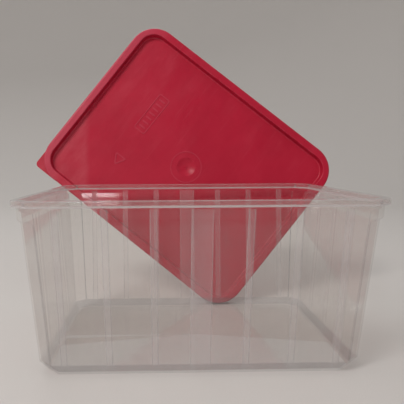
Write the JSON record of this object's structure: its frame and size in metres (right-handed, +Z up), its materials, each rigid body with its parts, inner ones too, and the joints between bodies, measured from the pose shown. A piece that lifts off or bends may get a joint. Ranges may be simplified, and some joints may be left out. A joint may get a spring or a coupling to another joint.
{
  "type": "slab mould tub with press-on lid",
  "caption": "Translucent rectangular moulded tub with chamfered corners, ribbed tapering walls and a rim flange, and its recessed press-on lid standing behind it; used as a soap slab mould.",
  "frame": {"origin": "middle of the tub's flat underside", "axes": "+Z up, +X along the tub's long side, +Y towards the lid that stands behind the tub"},
  "size_m": [0.3129, 0.2418, 0.2906],
  "materials": {
    "tub": "translucent natural polypropylene, glossy, with frosted ribs and light scuffs",
    "lid": "opaque crimson polyethylene, satin moulded surface"
  },
  "bodies": {
    "tub": {"tub": "tub"},
    "lid": {"lid": "lid"}
  },
  "joints": [
    {"name": "lid_lift", "type": "slide", "parent": "tub", "child": "lid", "axis": [0.0073, 0.1735, 0.9848], "range_m": [0, 0.16]}
  ]
}
